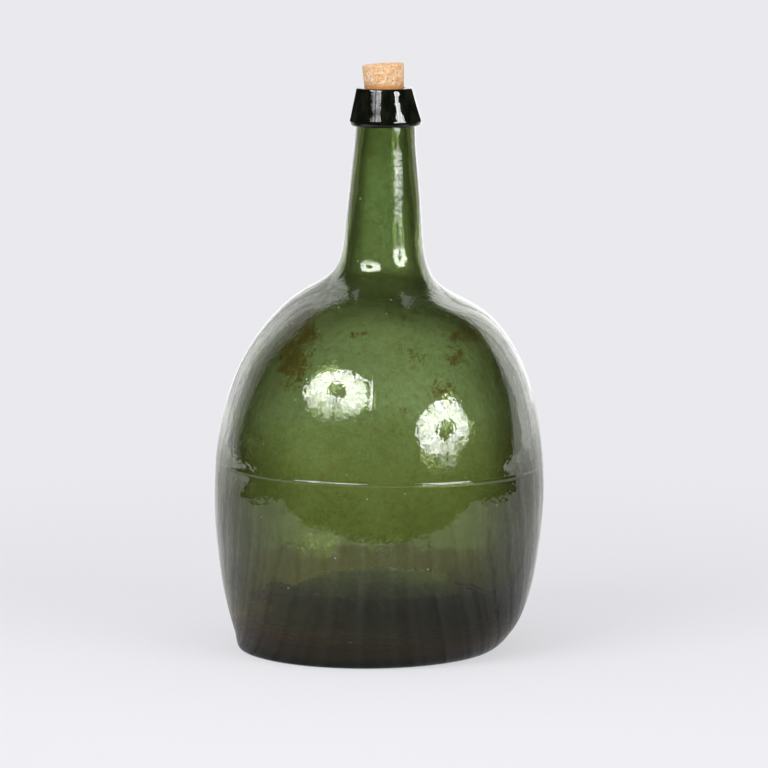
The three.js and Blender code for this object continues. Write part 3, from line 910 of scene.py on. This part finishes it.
def make_foot_shade():
    """The floor round the foot as the glass reflects it: dim at first, then brighter."""
    turns = np.linspace(0, 2 * math.pi, SHADE_COLUMNS, endpoint=False)
    places = [(reach * math.cos(turn), reach * math.sin(turn), SHADE_LIFT)
              for reach in SHADE_REACHES for turn in turns]
    faces = band_faces(len(SHADE_REACHES), SHADE_COLUMNS)
    shade = stage_mesh("foot_shade", places, faces, card_material("foot_shade"))
    give_glow(shade, np.outer(SHADE_GLOWS, pleated(turns, SHADE_PLEAT_DEPTH)))
    only_in_reflections(shade)


def upright_band(name, reach, low, high, turns, material):
    """An upright strip round the bottle. Each edge is one height, or one height for each turn."""
    count = len(turns)
    places = []
    for edge in (low, high):
        for turn, height in zip(np.radians(turns), np.resize(edge, count)):
            places.append((-reach * math.sin(turn), reach * math.cos(turn), height))
    faces = [(i, i + 1, count + i + 1, count + i) for i in range(count - 1)]
    return stage_mesh(name, places, faces, material)


def make_flags():
    """Flags at the collar and the neck, which keep the bright wall out of their dark flanks."""
    material = card_material("dark_flag")
    for part, (low, high), lower_by, stops, glows in (
        ("collar", COLLAR_FLAG, COLLAR_FLAG_DROP, COLLAR_FLAG_TURNS, COLLAR_FLAG_GLOWS),
        ("neck", NECK_FLAG, NECK_FLAG_DROP, NECK_FLAG_TURNS, NECK_FLAG_GLOWS),
    ):
        turns = np.linspace(stops[0], stops[-1], FLAG_COLUMNS)
        lows = low - lower_by * np.linspace(0, 1, FLAG_COLUMNS)
        for name, side in (("left", 1), ("right", -1)):
            label = f"{name}_{part}_flag"
            flag = upright_band(label, FLAG_REACH, lows, high, turns * side, material)
            give_glow(flag, np.tile(np.interp(turns, stops, glows), 2))
            flag.location.x = FLAG_MIDDLE
            only_in_reflections(flag)


def make_curtain():
    """What glass shows when it bends the view far aside: the backdrop ends and it is dark."""
    material, nodes = new_material("side_curtain")
    share = nodes.math("MAXIMUM", after_reflection(nodes), nodes.vertex_value("glow"))
    nodes.output(nodes.add("BsdfTransparent", {"Color": share}).outputs[0])
    turns = np.linspace(-180, 180, CURTAIN_COLUMNS)
    curtain = upright_band("side_curtain", CURTAIN_REACH, SHADE_LIFT, CURTAIN_HIGH, turns, material)
    shares = 1 - (1 - CURTAIN_SHARE) * smooth(np.abs(turns), CURTAIN_OPEN, CURTAIN_SHUT)
    give_glow(curtain, np.tile(shares, 2))
    only_in_reflections(curtain)


def make_umbrella(name, azimuth, elevation, half_width, half_height, foot_width, material):
    """A lit cloth of flat panels round a dark middle, dimmer at its rim and towards its foot."""
    out = way_to(azimuth, elevation)
    right = np.cross(out, (0, 0, 1))
    right /= np.linalg.norm(right)
    up = np.cross(right, out)
    wide = math.tan(math.radians(half_width)) * UMBRELLA_AWAY
    high = math.tan(math.radians(half_height)) * UMBRELLA_AWAY
    middle = out * UMBRELLA_AWAY + np.array([0, 0, UMBRELLA_AIM])
    start, end = UMBRELLA_STAND_GAP - 90, 270 - UMBRELLA_STAND_GAP
    turns = np.radians(np.linspace(start, end, UMBRELLA_COLUMNS))
    rings = np.linspace(UMBRELLA_HOLE, 1, UMBRELLA_RINGS)
    reach, turn = np.meshgrid(rings, turns, indexing="ij")
    panel = 2 * math.pi / UMBRELLA_PANELS
    edge = math.cos(panel / 2) / np.cos(turn % panel - panel / 2)
    u, v = reach * edge * np.cos(turn), reach * edge * np.sin(turn)
    places = middle + u[..., None] * right * wide + v[..., None] * up * high
    rows, columns = np.arange(UMBRELLA_RINGS - 1), np.arange(UMBRELLA_COLUMNS - 1)
    corner = np.add.outer(rows * UMBRELLA_COLUMNS, columns).ravel()
    above = corner + UMBRELLA_COLUMNS
    faces = np.column_stack([corner, corner + 1, above + 1, above]).tolist()
    cloth = stage_mesh(name, places.reshape(-1, 3), faces, material)
    below_top = 1 - smooth(v, *UMBRELLA_TOP_SPAN)
    rim = 1 - UMBRELLA_RIM * smooth(reach, *UMBRELLA_RIM_SPAN) * below_top
    foot = np.interp(v, UMBRELLA_LOW_SPAN, (UMBRELLA_LOW_GLOW, 1))
    narrowed = 1 - bell(u, UMBRELLA_FOOT_MIDDLE, foot_width)
    foot *= 1 - narrowed * smooth(-v, *UMBRELLA_FOOT_SPAN)
    folds = 1 + UMBRELLA_FOLD_DEPTH * sum(np.sin(turn * count + count) for count in UMBRELLA_FOLDS)
    give_glow(cloth, UMBRELLA_GLOW * rim * foot * folds)
    only_in_reflections(cloth)


def make_lamp(name, azimuth, elevation, away, size, watts):
    """A square lamp that lights the matt surfaces and isn't seen, in glass or otherwise."""
    data = bpy.data.lights.new(name, "AREA")
    data.shape = "SQUARE"
    data.size = size
    data.energy = watts
    lamp = bpy.data.objects.new(name, data)
    out = way_to(azimuth, elevation)
    lamp.location = out * away
    lamp.rotation_euler = (math.radians(90 - elevation), 0, math.radians(azimuth))
    lamp.visible_camera = False
    lamp.visible_glossy = False
    lamp.visible_transmission = False
    bpy.context.scene.collection.objects.link(lamp)


make_camera()
finish_pieces()
make_world()
make_floor()
make_dome()
make_dark_ground()
make_foot_shade()
make_flags()
make_curtain()
cloth = card_material("umbrella_cloth")
make_umbrella("left_umbrella", *LEFT_UMBRELLA, cloth)
make_umbrella("right_umbrella", *RIGHT_UMBRELLA, cloth)
make_lamp("left_lamp", *LEFT_LAMP)
make_lamp("right_lamp", *RIGHT_LAMP)
make_lamp("top_lamp", *TOP_LAMP)
